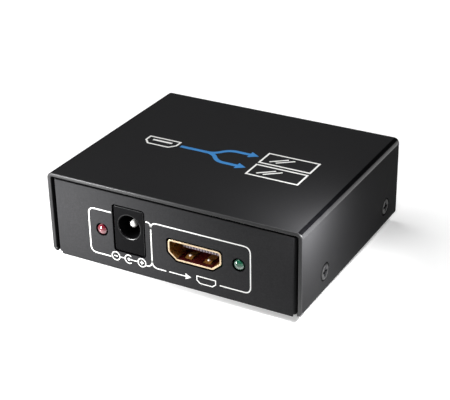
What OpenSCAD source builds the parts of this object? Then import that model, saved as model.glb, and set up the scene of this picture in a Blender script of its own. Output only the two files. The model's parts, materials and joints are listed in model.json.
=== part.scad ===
// One-in, two-out video splitter: a folded steel case round a circuit board that carries
// a power socket, three video sockets and four indicator lamps.
// Millimetres. The part stands on z = 0, its front faces -Y, and its origin is under its centre.

/* [Case] */
// Width over the cover's side walls
case_w = 71; // [70:0.5:90]
// Depth of the cover from its front edge to its rear edge
case_d = 58.75; // [58:0.25:80]
// Height of the case without its feet
case_h = 23.3; // [22.5:0.1:32]
// Thickness of the cover's sheet
sheet_t = 1; // [0.8:0.1:1.2]
// Outside radius of the cover's two top bends
cover_bend_r = 1.5; // [1.4:0.1:4]
// Outside radius of the cover's rolled-in lower edges
curl_r = 1.25; // [1.25:0.05:1.8]
// Height of the cover's lower edges above the tray's underside
cover_lift = 0.9; // [0.9:0.1:1.6]
// Thickness of the tray's sheet
tray_t = 0.8; // [0.6:0.05:0.85]
// Outside radius of the tray's bends
tray_bend_r = 1; // [0.9:0.05:1.3]
// Setback of the end panels from the cover's edges
panel_recess = 0.2; // [0.1:0.1:1]
// Clearance between the tray and the cover's side walls and top
tray_gap = 0.6; // [0.5:0.05:0.9]
// Distance from the outside of the case to the dished floor's edges
floor_inset = 5; // [4.5:0.1:6]
// Gap between the tray's ledges and the cover's rolled-in edges
ledge_gap = 0.2; // [0.1:0.05:0.4]
// Length of the flanges that the end panels' sides are bent back into
flange_l = 3; // [1.5:0.5:5]

/* [Feet] */
// Diameter of a rubber foot where it is stuck on
foot_d = 8; // [6:0.5:10]
// Height of a rubber foot
foot_h = 1.2; // [0.8:0.1:3]
// Distance from the tray floor's edges to a foot's rim
foot_inset = 2.5; // [1:0.5:6]

/* [Case screws] */
// Thread diameter of a case screw
case_screw_d = 2.5; // [2:0.1:3]
// Head diameter of a case screw
case_head_d = 4.3; // [4.2:0.1:6]
// Length of a case screw over its head
case_screw_l = 5; // [4:0.1:5.5]
// Height of the case screws above the underside of the case
case_screw_h = 6.65; // [6:0.05:8]
// Setback of the front pair from the cover's front edge
front_screw_setback = 13; // [8:0.25:18]
// Setback of the rear pair from the cover's rear edge
rear_screw_setback = 8; // [7:0.1:18]
// Gap between a screw's head and its countersink
countersink_gap = 0.3; // [0.05:0.05:0.3]
// Gap between a screw's thread and its tapped hole
thread_gap = 0.05; // [0.02:0.01:0.1]
// Width of the tray's ears around a case screw
ear_w = 7; // [6:0.5:8]
// Length of the tapped collar on an ear
collar_l = 1.2; // [0.8:0.1:2]

/* [Circuit board] */
// Thickness of the board
board_t = 1.6; // [1:0.1:2]
// Height of the board's standoffs above the tray floor
standoff_h = 4.4; // [3:0.1:5]
// Diameter of a standoff
standoff_d = 5; // [4.4:0.2:6]
// Distance from the outside of the case to the board's side edges
board_side_gap = 6; // [5.6:0.1:8]
// Distance from the cover's edges to the board's front and rear edges
board_end_gap = 4.6; // [4.4:0.1:5]
// Distance from the board's side edges to its screws
board_screw_inset = 3; // [2.8:0.1:5]
// Distance of the board's screws in front of and behind the centre
board_screw_y = 15; // [13.5:0.5:15.5]
// Thread diameter of a board screw
board_screw_d = 2.5; // [2:0.1:3]
// Head diameter of a board screw
board_head_d = 4.6; // [4:0.1:5.2]
// Gap round leads and tabs in the board
lead_gap = 0.2; // [0.1:0.05:0.3]

/* [Power socket] */
// Sideways place of the power socket, from the centre
jack_x = -11.85; // [-13:0.05:-9]
// Width of its housing
jack_w = 8.6; // [8.4:0.1:10]
// Length of its housing
jack_l = 14.2; // [13.8:0.1:15]
// Height of its bore's axis above the board
jack_axis_h = 6.4; // [6.2:0.1:7]
// Diameter of its bore
jack_bore_d = 6.2; // [6:0.1:6.6]
// Depth of its bore
jack_bore_l = 10.2; // [9.5:0.1:10.6]
// Width of the lead-in at its mouth
jack_lead_in = 0.25; // [0.2:0.05:0.8]
// Diameter of its centre pin
jack_pin_d = 2; // [1.6:0.1:2.5]
// Setback of the centre pin's tip from the face
jack_pin_setback = 1.5; // [1:0.1:3]
// Thickness of its contact strip
jack_strip_t = 0.3; // [0.2:0.05:0.4]
// Width of its contact strip
jack_strip_w = 2.4; // [2:0.1:2.8]
// How far the sleeve spring bulges into the bore
jack_spring_bulge = 0.5; // [0.2:0.05:0.7]
// Radius of its front block's corners
jack_corner_r = 0.4; // [0.3:0.1:1.2]
// Clearance of the housing in the front panel
jack_panel_gap = 0.4; // [0.1:0.05:0.5]

/* [Video sockets] */
// Sideways place of the input socket, from the centre
input_x = 6.65; // [4:0.05:8]
// Distance between the two output sockets
output_pitch = 27.6; // [26:0.1:30]
// Sideways place of the middle of the output sockets, seen from behind
output_shift = -1.65; // [-3:0.05:0]
// Width of the opening
port_w = 13.9; // [13.9:0.05:14.6]
// Height of the opening
port_h = 4.55; // [4.5:0.05:4.9]
// Width of the opening's flat floor
port_floor_w = 9.7; // [9.4:0.1:10.4]
// Height of the opening's slanted corners
port_slant_h = 1.75; // [1.4:0.05:2]
// Thickness of the shell
port_shell_t = 0.35; // [0.3:0.05:0.4]
// Length of the shell
port_l = 11.4; // [11.2:0.1:12]
// Width of the flange round the shell's mouth
port_rim_w = 0.45; // [0.45:0.05:0.7]
// Height of the opening's floor above the board
port_lift = 1; // [0.95:0.05:1.4]
// Clearance of the flanged mouth in the panel
port_panel_gap = 0.4; // [0.1:0.05:0.5]
// Gap between the shell and what it holds
port_fit_gap = 0.05; // [0.02:0.01:0.1]
// Width of the contact tongue
tongue_w = 10.4; // [10:0.1:12]
// Thickness of the contact tongue
tongue_t = 1.2; // [1:0.1:1.3]
// Height of the tongue's underside above the opening's floor
tongue_h = 1.95; // [1.8:0.05:2.1]
// Setback of the tongue's tip from the mouth
tongue_setback = 3; // [1.8:0.1:3.4]
// Spacing of the contacts
contact_pitch = 1; // [0.9:0.05:1.1]
// Width of a contact
contact_w = 0.4; // [0.3:0.05:0.5]
// Thickness of a contact
contact_t = 0.15; // [0.1:0.01:0.2]
// Width of a spring finger in the shell
finger_w = 1.9; // [1.6:0.1:2.2]
// Thickness of a spring finger
finger_t = 0.25; // [0.2:0.01:0.3]
// How far a spring finger bulges into the opening
finger_bulge = 0.35; // [0.2:0.05:0.4]
// Distance of the upper fingers from the socket's middle
upper_finger_x = 3.4; // [3:0.1:4.5]
// Distance of the lower fingers from the socket's middle
lower_finger_x = 2.6; // [2:0.1:3]
// Gap round a spring finger
finger_gap = 0.2; // [0.1:0.05:0.25]

/* [Lamps] */
// Sideways place of the power lamp, from the centre
power_lamp_x = -19.9; // [-22:0.05:-19]
// Distance from a video socket's middle to its lamp
lamp_offset = 12.2; // [11:0.1:13]
// Height of the lamps above the board
lamp_h = 3.9; // [3.4:0.1:5]
// Diameter of a lamp's lens
lamp_d = 2.6; // [2.6:0.1:3.2]
// Length of a lamp's lens from its rim to its tip
lamp_l = 5.3; // [5:0.1:5.6]
// How far a lamp's tip stands out of its panel
lamp_proud = 0.5; // [0.4:0.1:1.5]
// Height of a lamp's low dome
lamp_dome_h = 0.6; // [0.5:0.1:1.2]
// Clearance of a lamp in its panel
lamp_gap = 0.45; // [0.1:0.05:0.5]
// Spacing of a lamp's two leads
lamp_lead_pitch = 2.54; // [2:0.01:2.6]

/* [Hidden] */
$fn = 64;

// A cut passes this far beyond the faces that it opens
over = 0.5;

// Levels and faces of the case
half_w = case_w / 2;
half_d = case_d / 2;
cover_low = foot_h + cover_lift;
cover_h = case_h - cover_lift;
floor_top = foot_h + tray_t;
panel_y = half_d - panel_recess;
panel_top = foot_h + case_h - sheet_t - tray_gap;
panel_half_w = half_w - sheet_t - tray_gap;
// The flat middle of a panel, inside its bends
panel_flat_half_w = panel_half_w - tray_bend_r;
panel_flat_y = panel_y - tray_bend_r;
floor_half_w = half_w - floor_inset;
ledge_half_w = half_w - curl_r - ledge_gap;
screw_z = foot_h + case_screw_h;
front_screw_y = half_d - front_screw_setback;
rear_screw_y = half_d - rear_screw_setback;
countersink_r = case_head_d / 2 + countersink_gap;
case_shank_r = case_screw_d / 2;
// Setback of the screw heads from the cover's face, and the straight rim above their taper
head_setback = 0.05;
head_rim_h = 0.15;
countersink_rim_h = head_setback + head_rim_h;
// Height of the taper, and its width across one side
head_taper = sheet_t - countersink_rim_h;
case_recess_d = 2.4;
case_recess_h = 0.8 * sheet_t;
// Gap between an ear's collar and the cover's wall
seat_gap = 0.1;
collar_wall = 0.8;

// Levels and edges of the board
board_bottom = floor_top + standoff_h;
board_top = board_bottom + board_t;
board_half_w = half_w - board_side_gap;
board_half_d = half_d - board_end_gap;
board_screw_x = board_half_w - board_screw_inset;
board_head_h = 1.8;
board_recess_d = 2.6;
board_recess_h = 1.1;
standoff_step = 0.5;
standoff_stub_d = standoff_d - 2 * standoff_step;
lead_below_board = 1.2;

// Places on the power socket, y inward from its face and z up from its axis
jack_face_setback = 0.1;
jack_mouth_y = panel_y - jack_face_setback;
jack_axis_z = board_top + jack_axis_h;
jack_block_l = jack_mouth_y - board_half_d - lead_gap;
jack_block_top = 5.1;
jack_block_drop = 0.8;
jack_block_low = -jack_axis_h - jack_block_drop;
jack_outline = [[-jack_w / 2, jack_block_low], [jack_w / 2, jack_block_low],
    [jack_w / 2, jack_block_top], [-jack_w / 2, jack_block_top]];
jack_tail_t = 0.4;
jack_tail_w = 2.6;
jack_pin_root_d = jack_pin_d + 0.6;
jack_press_gap = 0.02;
jack_slot_gap = 0.3;
jack_shunt_l = 1;
jack_shunt_leg_x = 2.8;
jack_shunt_gap = 0.08;
jack_pocket_drop = 0.1;
jack_tip_drop = 0.75;
jack_tip_flat = 0.9;
jack_tip_to_touch = 2.6;
jack_touch_to_root = 4.5;
jack_root_drop = 0.8;
jack_spring_tip = [jack_block_l + jack_shunt_l + lead_gap, -jack_bore_d / 2 - jack_tip_drop];
jack_spring_touch_y = jack_spring_tip[0] + jack_tip_to_touch;
jack_spring_root = [jack_spring_touch_y + jack_touch_to_root, jack_spring_tip[1] - jack_root_drop];
jack_spring_root_r = 0.25;
jack_pivot_gap = 0.05;
// Front face of the terminal that carries the spring, just behind the spring's rounded root
jack_terminal_y = jack_spring_root[0] + jack_spring_root_r + jack_pivot_gap;

// Places on a video socket, y inward from its mouth and z up from its opening's floor
port_face_setback = 0.1;
port_mouth_y = panel_y - port_face_setback;
port_floor_z = board_top + port_lift;
port_corner_r = 0.45;
port_block_y = 9;
port_floor_l = 9.2;
port_leg_l = 1.6;
port_leg_y = [6, 10.1];
port_outline = [[-port_w / 2, port_slant_h], [-port_floor_w / 2, 0], [port_floor_w / 2, 0],
    [port_w / 2, port_slant_h], [port_w / 2, port_h], [-port_w / 2, port_h]];
upper_contact_count = 10;
lower_contact_count = 9;
contact_setback = 0.6;
contact_tail_w = 0.28;
contact_foot_l = 0.8;
finger_tip_y = 1.5;
finger_bulge_y = 2.7;
finger_root_y = 7.3;
finger_root_r = 0.18;
finger_flat_l = 0.9;

// Sideways places of the sockets and lamps, seen from their own end of the case
output_1_x = output_shift - output_pitch / 2;
output_2_x = output_shift + output_pitch / 2;
lamp_rim_w = 0.4;
lamp_rim_l = 1;
lamp_lead_t = 0.5;
lamp_lead_l = 2.2;
lamp_tip_y = panel_y + lamp_proud;
lamp_z = board_top + lamp_h;

// Parts on the board: sizes and places, from the board's centre
lead_w = 0.3;
lead_t = 0.2;
lead_reach = 1;
surge_size = [2.5, 1, 0.6];
surge_behind = 1.4;
surge_x = 2.2;
splitter_size = [12, 12, 1.4];
splitter_at = [2, 2];
splitter_leads_a_side = 14;
splitter_lead_pitch = 0.75;
controller_size = [6.5, 4.4, 1.1];
controller_at = [17, 1];
controller_leads_a_side = 9;
controller_lead_pitch = 0.65;
memory_size = [4.9, 3.9, 1.5];
memory_gap = 0.3;
surge_end_y = port_mouth_y - port_l - surge_behind - surge_size[1];
memory_y = surge_end_y - memory_gap - lead_reach - memory_size[1] / 2;
memory_at = [[input_x, -memory_y], [-output_1_x, memory_y], [-output_2_x, memory_y]];
memory_leads_a_side = 4;
memory_lead_pitch = 1.1;
regulator_size = [6.5, 3.5, 1.6];
regulator_at = [[-13, 1.5], [-22, 8]];
regulator_leads = 3;
regulator_lead_pitch = 2.3;
crystal_size = [11, 4.6, 3.5];
crystal_at = [18, -8];
electrolytic_d = 6.3;
electrolytic_l = 7.4;
electrolytic_base_h = 1;
electrolytic_base_rim = 0.15;
electrolytic_at = [[-21, -10], [-21, -1.5], [24, 5]];
inductor_size = [7, 7, 3.6];
inductor_core_d = 5.5;
inductor_core_h = 0.6;
inductor_at = [-12, -7];
chip_size = [1.6, 0.8, 0.5];
chip_pitch = 2.4;
chips_in_row = 4;
chip_ring = 9.2;

// Colours that several sub-parts share
shell_colour = "#c9a45c";
insulator_colour = "#1b1714";
contact_colour = "#b9b2c4";
strip_colour = "#cfc9b4";
lead_colour = "#c4c6c8";
chip_colour = "#20201f";
green_lamp_colour = "#1f6b3a";

// Outline helpers: unit vectors, offset and rounded convex outlines, and bent strips
function unit(v) = v / norm(v);
function outward(a, b) = let (d = unit(b - a)) [d[1], -d[0]];
function mitre(m, n) = (m + n) / (1 + m * n);
function around(p, i) = p[(i + len(p)) % len(p)];
function grown(p, t) = [for (i = [0:len(p) - 1])
    p[i] + t * mitre(outward(around(p, i - 1), p[i]), outward(p[i], around(p, i + 1)))];
function fillet(a, b, c, r, steps) = let (
    u = unit(a - b), v = unit(c - b), half = acos(u * v) / 2,
    centre = b + unit(u + v) * r / sin(half),
    start = atan2(b[1] + u[1] * r / tan(half) - centre[1], b[0] + u[0] * r / tan(half) - centre[0]))
    [for (k = [0:steps]) centre + r * [cos(start + (180 - 2 * half) * k / steps),
        sin(start + (180 - 2 * half) * k / steps)]];
function filleted(p, r, steps = 4) = [for (i = [0:len(p) - 1])
    each fillet(around(p, i - 1), p[i], around(p, i + 1), r, steps)];
function side_step(path, i) = let (
    before = i > 0 ? outward(path[i - 1], path[i]) : outward(path[0], path[1]),
    after = i < len(path) - 1 ? outward(path[i], path[i + 1]) : before) mitre(before, after);
function strip(path, t) = concat(
    [for (i = [0:len(path) - 1]) path[i] + side_step(path, i) * t / 2],
    [for (i = [len(path) - 1:-1:0]) path[i] - side_step(path, i) * t / 2]);

// Extrudes an outline drawn in x and z from y0 to y1
module along_y(y0, y1) { translate([0, y1, 0]) rotate([90, 0, 0]) linear_extrude(y1 - y0) children(); }
// Extrudes an outline drawn in y and z from x0 to x1
module along_x(x0, x1) { translate([x0, 0, 0]) rotate([90, 0, 90]) linear_extrude(x1 - x0) children(); }
// A block centred on x, between two corners in y and z
module slab(w, y0, y1, z0, z1) { translate([-w / 2, y0, z0]) cube([w, y1 - y0, z1 - z0]); }
// A block that stands on the board, centred on its place
module on_board(size, at) { translate([at[0] - size[0] / 2, at[1] - size[1] / 2, board_top]) cube(size); }
// Puts children at the front, or turned round at the rear
module at_end(rear) { rotate([0, 0, rear ? 180 : 0]) children(); }
module mirrored(axis) { children(); mirror(axis) children(); }

module at_jack() { translate([jack_x, -jack_mouth_y, jack_axis_z]) children(); }
module at_port(x, rear) { at_end(rear) translate([x, -port_mouth_y, port_floor_z]) children(); }
module at_lamp(x, rear) { at_end(rear) translate([x, -lamp_tip_y, lamp_z]) children(); }
module at_each_port() {
    at_port(input_x, false) children();
    at_port(output_1_x, true) children();
    at_port(output_2_x, true) children();
}
module at_each_lamp() {
    at_lamp(power_lamp_x, false) children();
    at_lamp(input_x + lamp_offset, false) children();
    at_lamp(output_1_x + lamp_offset, true) children();
    at_lamp(output_2_x + lamp_offset, true) children();
}
// Puts children on the axis of each case screw, z pointing out of the case
module at_case_screws() {
    mirrored([1, 0, 0])
        for (y = [-front_screw_y, rear_screw_y])
            translate([half_w, y, screw_z]) rotate([0, 90, 0]) children();
}
module at_board_screws() {
    for (x = [-board_screw_x, board_screw_x], y = [-board_screw_y, board_screw_y])
        translate([x, y, 0]) children();
}

// Cross recess of a screw head, cut down from z = 0
module cross_recess(d, depth) {
    wing_w = d / 4;
    hub_d = d / 2;
    for (turn = [0, 90])
        rotate([0, 0, turn]) translate([-d / 2, -wing_w / 2, -depth]) cube([d, wing_w, depth + over]);
    translate([0, 0, -depth]) cylinder(d1 = hub_d / 2, d2 = hub_d, h = depth);
}

// Section of the cover: a flat top, two side walls and two rolled-in lower edges, open below
module cover_section() {
    wall_mid = [half_w - sheet_t / 2, (curl_r + cover_h - cover_bend_r) / 2];
    translate([0, cover_h - sheet_t / 2]) square([case_w - 2 * cover_bend_r, sheet_t], center = true);
    mirrored([1, 0]) {
        translate(wall_mid) square([sheet_t, cover_h - cover_bend_r - curl_r], center = true);
        translate([half_w - cover_bend_r, cover_h - cover_bend_r]) quarter_bend(cover_bend_r, sheet_t, 1);
        translate([half_w - curl_r, curl_r]) quarter_bend(curl_r, sheet_t, -1);
    }
}
// A quarter of a ring of sheet, to the right of its centre, above it or below it
module quarter_bend(r, t, up) {
    intersection() {
        difference() {
            circle(r);
            circle(r - t);
        }
        translate([0, up > 0 ? 0 : -r]) square(r);
    }
}
module cover_shell() {
    color("#262626") difference() {
        translate([0, 0, cover_low]) along_y(-half_d, half_d) cover_section();
        at_case_screws() {
            translate([0, 0, -sheet_t])
                cylinder(r1 = countersink_r - head_taper, r2 = countersink_r, h = head_taper);
            translate([0, 0, -sheet_t - over]) cylinder(r = countersink_r - head_taper, h = sheet_t);
            translate([0, 0, -countersink_rim_h]) cylinder(r = countersink_r, h = countersink_rim_h + over);
        }
    }
}

// Side view of one end of the tray: the panel's flat, and the bend at its foot
module panel_section() {
    translate([panel_flat_y, foot_h + tray_bend_r]) quarter_bend(tray_bend_r, tray_t, -1);
    translate([panel_y - tray_t, foot_h + tray_bend_r]) square([tray_t, panel_top - foot_h - tray_bend_r]);
}
// Plan of a panel's side: bent back into a flange beside the cover's wall
module flange_plan() {
    translate([panel_flat_half_w, -panel_flat_y]) quarter_bend(tray_bend_r, tray_t, -1);
    translate([panel_half_w - tray_t, -panel_flat_y]) square([tray_t, flange_l]);
}
// The dished floor: a flat middle, and a raised ledge along each of the cover's rolled-in edges
module tray_floor() {
    inner = floor_half_w - tray_t;
    slab(2 * floor_half_w, -panel_flat_y, panel_flat_y, foot_h, floor_top);
    mirrored([1, 0, 0]) {
        translate([inner, -panel_flat_y, foot_h]) cube([tray_t, 2 * panel_flat_y, cover_lift + tray_t]);
        translate([inner, -panel_flat_y, cover_low]) cube([ledge_half_w - inner, 2 * panel_flat_y, tray_t]);
    }
}
// One ear: a tongue on a panel's flange, with a tapped collar that the cover is screwed against
module screw_ear(screw_y) {
    ear_end = screw_y - ear_w / 2;
    collar_end = panel_half_w - tray_t - collar_l;
    collar_seat = half_w - sheet_t - seat_gap;
    translate([panel_half_w - tray_t, -panel_flat_y, screw_z - ear_w / 2])
        cube([tray_t, panel_flat_y - ear_end, ear_w]);
    translate([collar_end, -screw_y, screw_z])
        rotate([0, 90, 0]) cylinder(r = case_shank_r + collar_wall, h = collar_seat - collar_end);
}
module jack_window() {
    at_jack() along_y(-over, tray_t + over)
        polygon(filleted(grown(jack_outline, jack_panel_gap), jack_corner_r + jack_panel_gap));
}
module base_tray() {
    color("#303030") difference() {
        union() {
            tray_floor();
            mirrored([0, 1, 0]) {
                along_x(-panel_flat_half_w, panel_flat_half_w) panel_section();
                mirrored([1, 0, 0]) translate([0, 0, foot_h + tray_bend_r])
                    linear_extrude(panel_top - foot_h - tray_bend_r) flange_plan();
            }
            mirrored([1, 0, 0]) {
                screw_ear(front_screw_y);
                mirror([0, 1, 0]) screw_ear(rear_screw_y);
            }
        }
        jack_window();
        at_each_port() along_y(-over, tray_t + over)
            polygon(filleted(grown(port_outline, port_rim_w + port_panel_gap), port_corner_r + port_rim_w));
        at_each_lamp() rotate([-90, 0, 0])
            translate([0, 0, lamp_proud - over]) cylinder(d = lamp_d + 2 * lamp_gap, h = tray_t + 2 * over);
        at_case_screws() translate([0, 0, -case_screw_l - over])
            cylinder(r = case_shank_r + thread_gap, h = case_screw_l);
        at_board_screws() translate([0, 0, foot_h - over])
            cylinder(d = standoff_stub_d + 2 * thread_gap, h = tray_t + 2 * over);
    }
}

// Countersunk cross-head screws through the cover into the tray's ears
module case_screws() {
    head_r = case_head_d / 2;
    head_h = head_rim_h + head_taper;
    color("#1c1c1c") at_case_screws() translate([0, 0, -head_setback]) difference() {
        union() {
            translate([0, 0, -head_rim_h]) cylinder(r = head_r, h = head_rim_h);
            translate([0, 0, -head_h]) cylinder(r1 = head_r - head_taper, r2 = head_r, h = head_taper);
            translate([0, 0, -case_screw_l]) cylinder(r = case_shank_r, h = case_screw_l - head_h);
        }
        cross_recess(case_recess_d, case_recess_h);
    }
}

// Soft feet stuck under the tray's floor
module rubber_feet() {
    foot_draft = 0.4;
    foot_x = floor_half_w - foot_inset - foot_d / 2;
    foot_y = panel_flat_y - foot_inset - foot_d / 2;
    color("#151515") for (x = [-foot_x, foot_x], y = [-foot_y, foot_y])
        translate([x, y, 0]) cylinder(d1 = foot_d - 2 * foot_draft, d2 = foot_d, h = foot_h);
}

// The board, with its screw holes and the holes for every soldered lead and tab
module circuit_board() {
    depth = board_t + 2 * over;
    color("#17452d") difference() {
        slab(2 * board_half_w, -board_half_d, board_half_d, board_bottom, board_top);
        translate([0, 0, board_bottom - over]) at_board_screws()
            cylinder(r = board_screw_d / 2 + lead_gap, h = depth);
        at_each_port() mirrored([1, 0, 0]) for (y = port_leg_y)
            translate([port_w / 2 - lead_gap, y - port_leg_l / 2 - lead_gap, -port_lift - board_t - over])
                cube([port_shell_t + 2 * lead_gap, port_leg_l + 2 * lead_gap, depth]);
        at_each_lamp() mirrored([1, 0, 0])
            translate([lamp_lead_pitch / 2, lamp_l + lamp_lead_l - lamp_lead_t / 2, -lamp_h - board_t - over])
                cylinder(d = lamp_lead_t * sqrt(2) + 2 * lead_gap, h = depth);
        at_jack() translate([0, 0, -jack_axis_h - board_t - over]) {
            slab(jack_tail_w + 2 * lead_gap, jack_l - lead_gap, jack_l + jack_tail_t + lead_gap, 0, depth);
            slab(jack_strip_w + 2 * lead_gap, jack_terminal_y - lead_gap,
                jack_terminal_y + jack_tail_t + lead_gap, 0, depth);
            translate([jack_shunt_leg_x - lead_gap, jack_spring_tip[0] - jack_shunt_l / 2 - lead_gap, 0])
                cube([jack_strip_t + 2 * lead_gap, jack_shunt_l + 2 * lead_gap, depth]);
        }
    }
}

// Clinched standoffs with tapped bores
module board_standoffs() {
    color("#b9bcc0") at_board_screws() difference() {
        union() {
            translate([0, 0, floor_top]) cylinder(d = standoff_d, h = standoff_h);
            translate([0, 0, foot_h]) cylinder(d = standoff_stub_d, h = tray_t);
        }
        translate([0, 0, foot_h - over])
            cylinder(r = board_screw_d / 2 + thread_gap, h = tray_t + standoff_h + 2 * over);
    }
}

// Pan-head screws that hold the board down
module board_screws() {
    color("#c6c9cc") at_board_screws() difference() {
        union() {
            translate([0, 0, board_top]) cylinder(d = board_head_d, h = board_head_h);
            translate([0, 0, floor_top]) cylinder(d = board_screw_d, h = board_top - floor_top);
        }
        translate([0, 0, board_top + board_head_h]) cross_recess(board_recess_d, board_recess_h);
    }
}

// Moulded socket body: a square front block, a low base and a round barrel
module dc_jack_housing() {
    base_low = -jack_axis_h;
    slot_w = jack_strip_w + 2 * jack_slot_gap;
    slot_y0 = jack_spring_tip[0] - jack_shunt_l;
    slot_y1 = jack_terminal_y + jack_tail_t + jack_slot_gap;
    pocket_y1 = jack_spring_tip[0] + jack_shunt_l;
    pocket_top = -jack_bore_d / 2 - jack_pocket_drop;
    color("#121212") at_jack() difference() {
        union() {
            along_y(0, jack_block_l) polygon(filleted(jack_outline, jack_corner_r));
            slab(jack_w, jack_block_l, jack_l, base_low, 0);
            rotate([-90, 0, 0]) cylinder(d = jack_w, h = jack_l);
        }
        rotate([-90, 0, 0]) {
            translate([0, 0, -over]) cylinder(d = jack_bore_d, h = jack_bore_l + over);
            cylinder(d1 = jack_bore_d + 2 * jack_lead_in, d2 = jack_bore_d, h = jack_lead_in);
            cylinder(d = jack_pin_root_d + 2 * jack_press_gap, h = jack_l + over);
        }
        slab(slot_w, slot_y0, slot_y1, base_low - over, -jack_bore_d / 2 + over);
        translate([jack_shunt_leg_x / 2, 0, 0])
            slab(jack_shunt_leg_x + slot_w / 2, slot_y0, pocket_y1, base_low - over, pocket_top);
    }
}
// Plated centre pin with a rounded tip, a thicker pressed-in root and a flat soldered tail
module dc_jack_centre_pin() {
    tip_r = jack_pin_d / 2;
    tail_top = jack_tail_w / 2;
    color("#d5d7d8") at_jack() {
        rotate([-90, 0, 0]) {
            translate([0, 0, jack_pin_setback + tip_r]) {
                sphere(r = tip_r);
                cylinder(r = tip_r, h = jack_bore_l - jack_pin_setback - tip_r);
            }
            translate([0, 0, jack_bore_l]) cylinder(d = jack_pin_root_d, h = jack_l - jack_bore_l);
        }
        slab(jack_tail_w, jack_l, jack_l + jack_tail_t,
            -jack_axis_h - board_t - lead_below_board, tail_top);
    }
}
// Fixed upright strip behind the sleeve spring's root
module dc_jack_sleeve_terminal() {
    color(strip_colour) at_jack()
        slab(jack_strip_w, jack_terminal_y, jack_terminal_y + jack_tail_t,
            -jack_axis_h - board_t - lead_below_board, jack_spring_root[1] + 2 * jack_spring_root_r);
}
// Springy strip that presses on a plug's sleeve and turns about its rounded root
module dc_jack_sleeve_spring() {
    touch_z = -jack_bore_d / 2 + jack_spring_bulge - jack_strip_t / 2;
    settle = jack_spring_tip + [jack_tip_flat, 0];
    path = [jack_spring_root, [jack_spring_touch_y, touch_z], settle, jack_spring_tip];
    color(strip_colour) at_jack() along_x(-jack_strip_w / 2, jack_strip_w / 2) {
        translate(jack_spring_root) circle(jack_spring_root_r);
        polygon(strip(path, jack_strip_t));
    }
}
// Fixed strip that the spring's tip rests against while no plug is in
module dc_jack_shunt_contact() {
    low = jack_spring_tip[1] + jack_strip_t / 2 + jack_shunt_gap;
    y0 = jack_spring_tip[0] - jack_shunt_l / 2;
    left = -jack_strip_w / 2;
    color(strip_colour) at_jack() {
        translate([left, y0, low]) cube([jack_shunt_leg_x + jack_strip_t - left, jack_shunt_l, jack_strip_t]);
        translate([jack_shunt_leg_x, y0, -jack_axis_h - board_t - lead_below_board])
            cube([jack_strip_t, jack_shunt_l, low + jack_axis_h + board_t + lead_below_board]);
    }
}

// Moulded lamp with a rim behind the panel and a low dome at its tip
module lamp_lens(x, rear, shade) {
    tip_r = lamp_d / 2;
    dome_r = (tip_r * tip_r + lamp_dome_h * lamp_dome_h) / (2 * lamp_dome_h);
    color(shade, 0.85) at_lamp(x, rear) rotate([-90, 0, 0]) {
        intersection() {
            translate([0, 0, dome_r]) sphere(r = dome_r);
            cylinder(r = tip_r, h = dome_r);
        }
        translate([0, 0, lamp_dome_h]) cylinder(r = tip_r, h = lamp_l - lamp_dome_h);
        translate([0, 0, lamp_l - lamp_rim_l]) cylinder(r = tip_r + lamp_rim_w, h = lamp_rim_l);
    }
}
// Two square leads, bent down through the board
module lamp_leads(x, rear) {
    low = -lamp_h - board_t - lead_below_board;
    color("#c9cbcc") at_lamp(x, rear) mirrored([1, 0, 0])
        translate([lamp_lead_pitch / 2 - lamp_lead_t / 2, 0, 0]) {
            translate([0, lamp_l, -lamp_lead_t / 2]) cube([lamp_lead_t, lamp_lead_l, lamp_lead_t]);
            translate([0, lamp_l + lamp_lead_l - lamp_lead_t, low])
                cube([lamp_lead_t, lamp_lead_t, lamp_lead_t / 2 - low]);
        }
}
module power_lamp_lens() { lamp_lens(power_lamp_x, false, "#d2243c"); }
module power_lamp_leads() { lamp_leads(power_lamp_x, false); }
module input_lamp_lens() { lamp_lens(input_x + lamp_offset, false, green_lamp_colour); }
module input_lamp_leads() { lamp_leads(input_x + lamp_offset, false); }
module output_1_lamp_lens() { lamp_lens(output_1_x + lamp_offset, true, green_lamp_colour); }
module output_1_lamp_leads() { lamp_leads(output_1_x + lamp_offset, true); }
module output_2_lamp_lens() { lamp_lens(output_2_x + lamp_offset, true, green_lamp_colour); }
module output_2_lamp_leads() { lamp_leads(output_2_x + lamp_offset, true); }

// A slot in the shell round a spring finger, through the wall that spans z0 to z1
module finger_window(x, z0, z1) {
    translate([x, 0, 0]) slab(finger_w + 2 * finger_gap, finger_tip_y - finger_gap,
        finger_root_y + finger_root_r + finger_gap / 2, z0, z1);
}
// Plated shell: a D-shaped tube with a flanged mouth, spring windows and four soldered legs
module port_shell() {
    outer = grown(port_outline, port_shell_t);
    flange = grown(port_outline, port_rim_w);
    leg_low = -port_lift - board_t - lead_below_board;
    leg_top = (port_slant_h + port_h) / 2;
    difference() {
        union() {
            along_y(0, port_l) polygon(filleted(outer, port_corner_r + port_shell_t));
            along_y(0, port_shell_t) polygon(filleted(flange, port_corner_r + port_rim_w));
        }
        along_y(-over, port_l + over) polygon(filleted(port_outline, port_corner_r));
        slab(port_w, port_floor_l, port_l + over, -over, port_slant_h);
        mirrored([1, 0, 0]) {
            finger_window(upper_finger_x, port_h - over, port_h + over);
            finger_window(lower_finger_x, -over, over);
        }
    }
    mirrored([1, 0, 0]) for (y = port_leg_y)
        translate([port_w / 2, y - port_leg_l / 2, leg_low])
            cube([port_shell_t, port_leg_l, leg_top - leg_low]);
}
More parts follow.
